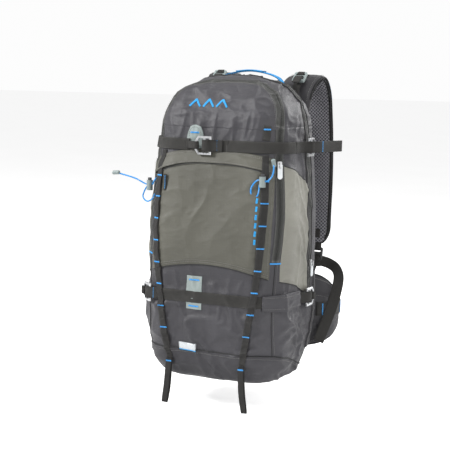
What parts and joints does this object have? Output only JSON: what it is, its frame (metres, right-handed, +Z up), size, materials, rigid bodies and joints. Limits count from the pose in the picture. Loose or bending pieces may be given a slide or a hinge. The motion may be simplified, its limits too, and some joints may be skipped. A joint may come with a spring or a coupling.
{
  "type": "ski backpack",
  "caption": "Ski touring backpack with a fold-open top flap, padded harness and hip belt, metal hook ski straps, daisy chains, zips and elastic ice axe cords.",
  "frame": {"origin": "middle of the flat base, on the ground", "axes": "+Z up, -Y the outer front of the pack, +Y the wearer's side, +X to the right seen from the front"},
  "size_m": [0.3825, 0.3646, 0.5914],
  "materials": {
    "dome_cloth": "coated weave, dull",
    "front_cloth": "coated weave, dull",
    "side_cloth": "coated weave, dull",
    "base_cloth": "heavy weave, dull",
    "webbing": "woven, dull",
    "blue_webbing": "woven, dull",
    "zip_tape": "woven tape",
    "patch_cloth": "reinforcement cloth",
    "bartack": "dense stitching",
    "mesh": "open mesh over foam",
    "pad_cloth": "padded cloth",
    "cord": "braided elastic cord",
    "hook_metal": "satin",
    "slider_metal": "satin",
    "spring_steel": "bright",
    "lock_plastic": "moulded",
    "buckle_plastic": "moulded",
    "pull_plastic": "moulded",
    "frame_plastic": "sheet",
    "stay_alloy": "bare bar"
  },
  "bodies": {
    "pack": {"main_bag": "dome_cloth", "base_panel": "base_cloth", "front_pocket": "front_cloth", "pocket_flap": "front_cloth", "side_panels": "side_cloth", "front_zip_tape": "zip_tape", "back_zip_tape": "zip_tape", "daisy_chains": "webbing", "bartacks": "bartack", "strap_patches": "patch_cloth", "upper_ski_strap": "webbing", "lower_ski_strap": "webbing", "side_straps": "webbing", "anchor_loops": "webbing", "strap_sleeve": "dome_cloth", "frame_sheet": "frame_plastic", "frame_stays": "stay_alloy", "stay_rivets": "stay_alloy", "hydration_sleeve": "dome_cloth", "back_pads": "mesh", "lifter_webbing": "webbing", "cord_locks": "lock_plastic", "cord_springs": "spring_steel", "axe_cords": "cord", "cord_grips": "lock_plastic"},
    "top_flap": {"top_flap": "dome_cloth", "top_zip_tape": "zip_tape"},
    "haul_loop": {"haul_loop": "blue_webbing"},
    "shoulder_right": {"shoulder_strap_right": "pad_cloth", "lower_webbing_right": "webbing"},
    "shoulder_left": {"shoulder_strap_left": "pad_cloth", "lower_webbing_left": "webbing"},
    "ladder_right": {"ladder_lock_right": "buckle_plastic"},
    "ladder_left": {"ladder_lock_left": "buckle_plastic"},
    "lifter_right": {"lifter_lock_right": "lock_plastic"},
    "lifter_left": {"lifter_lock_left": "lock_plastic"},
    "sternum_right": {"sternum_strap_right": "webbing", "sternum_plug": "buckle_plastic"},
    "sternum_left": {"sternum_strap_left": "webbing", "sternum_socket": "buckle_plastic"},
    "hip_right": {"hip_wing_right": "pad_cloth"},
    "hip_left": {"hip_wing_left": "pad_cloth"},
    "belt_right": {"hip_webbing_right": "webbing", "hip_plug": "buckle_plastic"},
    "belt_left": {"hip_webbing_left": "webbing", "hip_socket": "buckle_plastic"},
    "upper_hook": {"upper_hook": "hook_metal"},
    "side_hook_right": {"side_hook_right": "hook_metal"},
    "side_hook_left": {"side_hook_left": "hook_metal"},
    "lower_side_hook": {"lower_side_hook": "hook_metal"},
    "lower_hook": {"lower_hook": "hook_metal"},
    "front_slider": {"front_zip_slider": "slider_metal"},
    "front_pull": {"front_zip_pull": "pull_plastic"},
    "back_slider": {"back_zip_slider": "slider_metal"},
    "back_pull": {"back_zip_pull": "pull_plastic"},
    "pocket_pull": {"pocket_zip_pull": "webbing"},
    "button_right": {"cord_button_right": "buckle_plastic"},
    "button_left": {"cord_button_left": "buckle_plastic"},
    "axe_loop_right": {"axe_loop_right": "webbing"},
    "axe_loop_left": {"axe_loop_left": "webbing"}
  },
  "joints": [
    {"name": "top_flap_fold", "type": "hinge", "parent": "pack", "child": "top_flap", "pos_m": [0, -0.077, 0.45], "axis": [1, 0, 0], "range_deg": [0, 95]},
    {"name": "haul_loop_swing", "type": "hinge", "parent": "pack", "child": "haul_loop", "pos_m": [0, 0.062, 0.5275], "axis": [1, 0, 0], "range_deg": [-60, 8]},
    {"name": "shoulder_swing_right", "type": "hinge", "parent": "pack", "child": "shoulder_right", "pos_m": [0.072, 0.091, 0.478], "axis": [0.0333, 0.019, -0.9993], "range_deg": [-3, 10]},
    {"name": "shoulder_swing_left", "type": "hinge", "parent": "pack", "child": "shoulder_left", "pos_m": [-0.072, 0.091, 0.478], "axis": [0.0333, -0.019, 0.9993], "range_deg": [-3, 10]},
    {"name": "ladder_tilt_right", "type": "hinge", "parent": "shoulder_right", "child": "ladder_right", "pos_m": [0.1065, 0.1409, 0.22071], "axis": [1, 0, 0], "range_deg": [-4, 20]},
    {"name": "ladder_tilt_left", "type": "hinge", "parent": "shoulder_left", "child": "ladder_left", "pos_m": [-0.1065, 0.1409, 0.22071], "axis": [1, 0, 0], "range_deg": [-4, 20]},
    {"name": "lifter_tilt_right", "type": "hinge", "parent": "shoulder_right", "child": "lifter_right", "pos_m": [0.081, 0.1055, 0.5426], "axis": [-1, 0, 0], "range_deg": [-4, 20]},
    {"name": "lifter_tilt_left", "type": "hinge", "parent": "shoulder_left", "child": "lifter_left", "pos_m": [-0.081, 0.1055, 0.5426], "axis": [-1, 0, 0], "range_deg": [-4, 20]},
    {"name": "sternum_slide_right", "type": "slide", "parent": "shoulder_right", "child": "sternum_right", "axis": [0, 0, 1], "range_m": [-0.03, 0.015]},
    {"name": "sternum_slide_left", "type": "slide", "parent": "shoulder_left", "child": "sternum_left", "axis": [0, 0, 1], "range_m": [-0.03, 0.015]},
    {"name": "hip_wing_swing_right", "type": "hinge", "parent": "pack", "child": "hip_right", "pos_m": [0.113, 0.091, 0.11], "axis": [0, 0, 1], "range_deg": [-4, 6]},
    {"name": "hip_wing_swing_left", "type": "hinge", "parent": "pack", "child": "hip_left", "pos_m": [-0.113, 0.091, 0.11], "axis": [0, 0, -1], "range_deg": [-4, 6]},
    {"name": "belt_swing_right", "type": "hinge", "parent": "hip_right", "child": "belt_right", "pos_m": [0.126, 0.208, 0.107], "axis": [0, 0, 1], "range_deg": [-12, 6]},
    {"name": "belt_swing_left", "type": "hinge", "parent": "hip_left", "child": "belt_left", "pos_m": [-0.126, 0.208, 0.107], "axis": [0, 0, -1], "range_deg": [-12, 6]},
    {"name": "upper_hook_rock", "type": "hinge", "parent": "pack", "child": "upper_hook", "pos_m": [-0.013, -0.0959, 0.416], "axis": [0, 0, 1], "range_deg": [-2, 6]},
    {"name": "side_hook_rock_right", "type": "hinge", "parent": "pack", "child": "side_hook_right", "pos_m": [0.14038, 0.014, 0.416], "axis": [0, 0, -1], "range_deg": [-2, 6]},
    {"name": "side_hook_rock_left", "type": "hinge", "parent": "pack", "child": "side_hook_left", "pos_m": [-0.14038, 0.014, 0.416], "axis": [0, 0, 1], "range_deg": [-2, 6]},
    {"name": "lower_side_hook_rock", "type": "hinge", "parent": "pack", "child": "lower_side_hook", "pos_m": [0.1465, 0.014, 0.152], "axis": [0, 0, -1], "range_deg": [-2, 6]},
    {"name": "lower_hook_rock", "type": "hinge", "parent": "pack", "child": "lower_hook", "pos_m": [-0.11864, -0.09674, 0.152], "axis": [0, 0, 1], "range_deg": [-2, 6]},
    {"name": "front_zip_slide", "type": "slide", "parent": "pack", "child": "front_slider", "axis": [0.0589, -0.0868, -0.9945], "range_m": [-0.006, 0.06]},
    {"name": "front_pull_flip", "type": "hinge", "parent": "front_slider", "child": "front_pull", "pos_m": [0.12036, -0.07405, 0.388], "axis": [-0.682, -0.7314, 0], "range_deg": [0, 150]},
    {"name": "back_zip_slide", "type": "slide", "parent": "pack", "child": "back_slider", "axis": [0, 0, 1], "range_m": [-0.012, 0.12]},
    {"name": "back_pull_flip", "type": "hinge", "parent": "back_slider", "child": "back_pull", "pos_m": [0.14413, 0.028, 0.21], "axis": [0, -1, 0], "range_deg": [0, 150]},
    {"name": "pocket_pull_flip", "type": "hinge", "parent": "pack", "child": "pocket_pull", "pos_m": [-0.08571, -0.09599, 0.362], "axis": [-0.9816, 0.1908, 0], "range_deg": [0, 100]},
    {"name": "cord_button_press_right", "type": "slide", "parent": "pack", "child": "button_right", "axis": [0, 0, -1], "range_m": [0, 0.003], "deforming": ["cord_springs"]},
    {"name": "cord_button_press_left", "type": "slide", "parent": "pack", "child": "button_left", "axis": [0, 0, -1], "range_m": [0, 0.003], "deforming": ["cord_springs"]},
    {"name": "axe_loop_swing_right", "type": "hinge", "parent": "pack", "child": "axe_loop_right", "pos_m": [0.07, -0.101, 0.036], "axis": [-1, 0, 0], "range_deg": [-8, 70]},
    {"name": "axe_loop_swing_left", "type": "hinge", "parent": "pack", "child": "axe_loop_left", "pos_m": [-0.07, -0.101, 0.036], "axis": [-1, 0, 0], "range_deg": [-8, 70]}
  ]
}
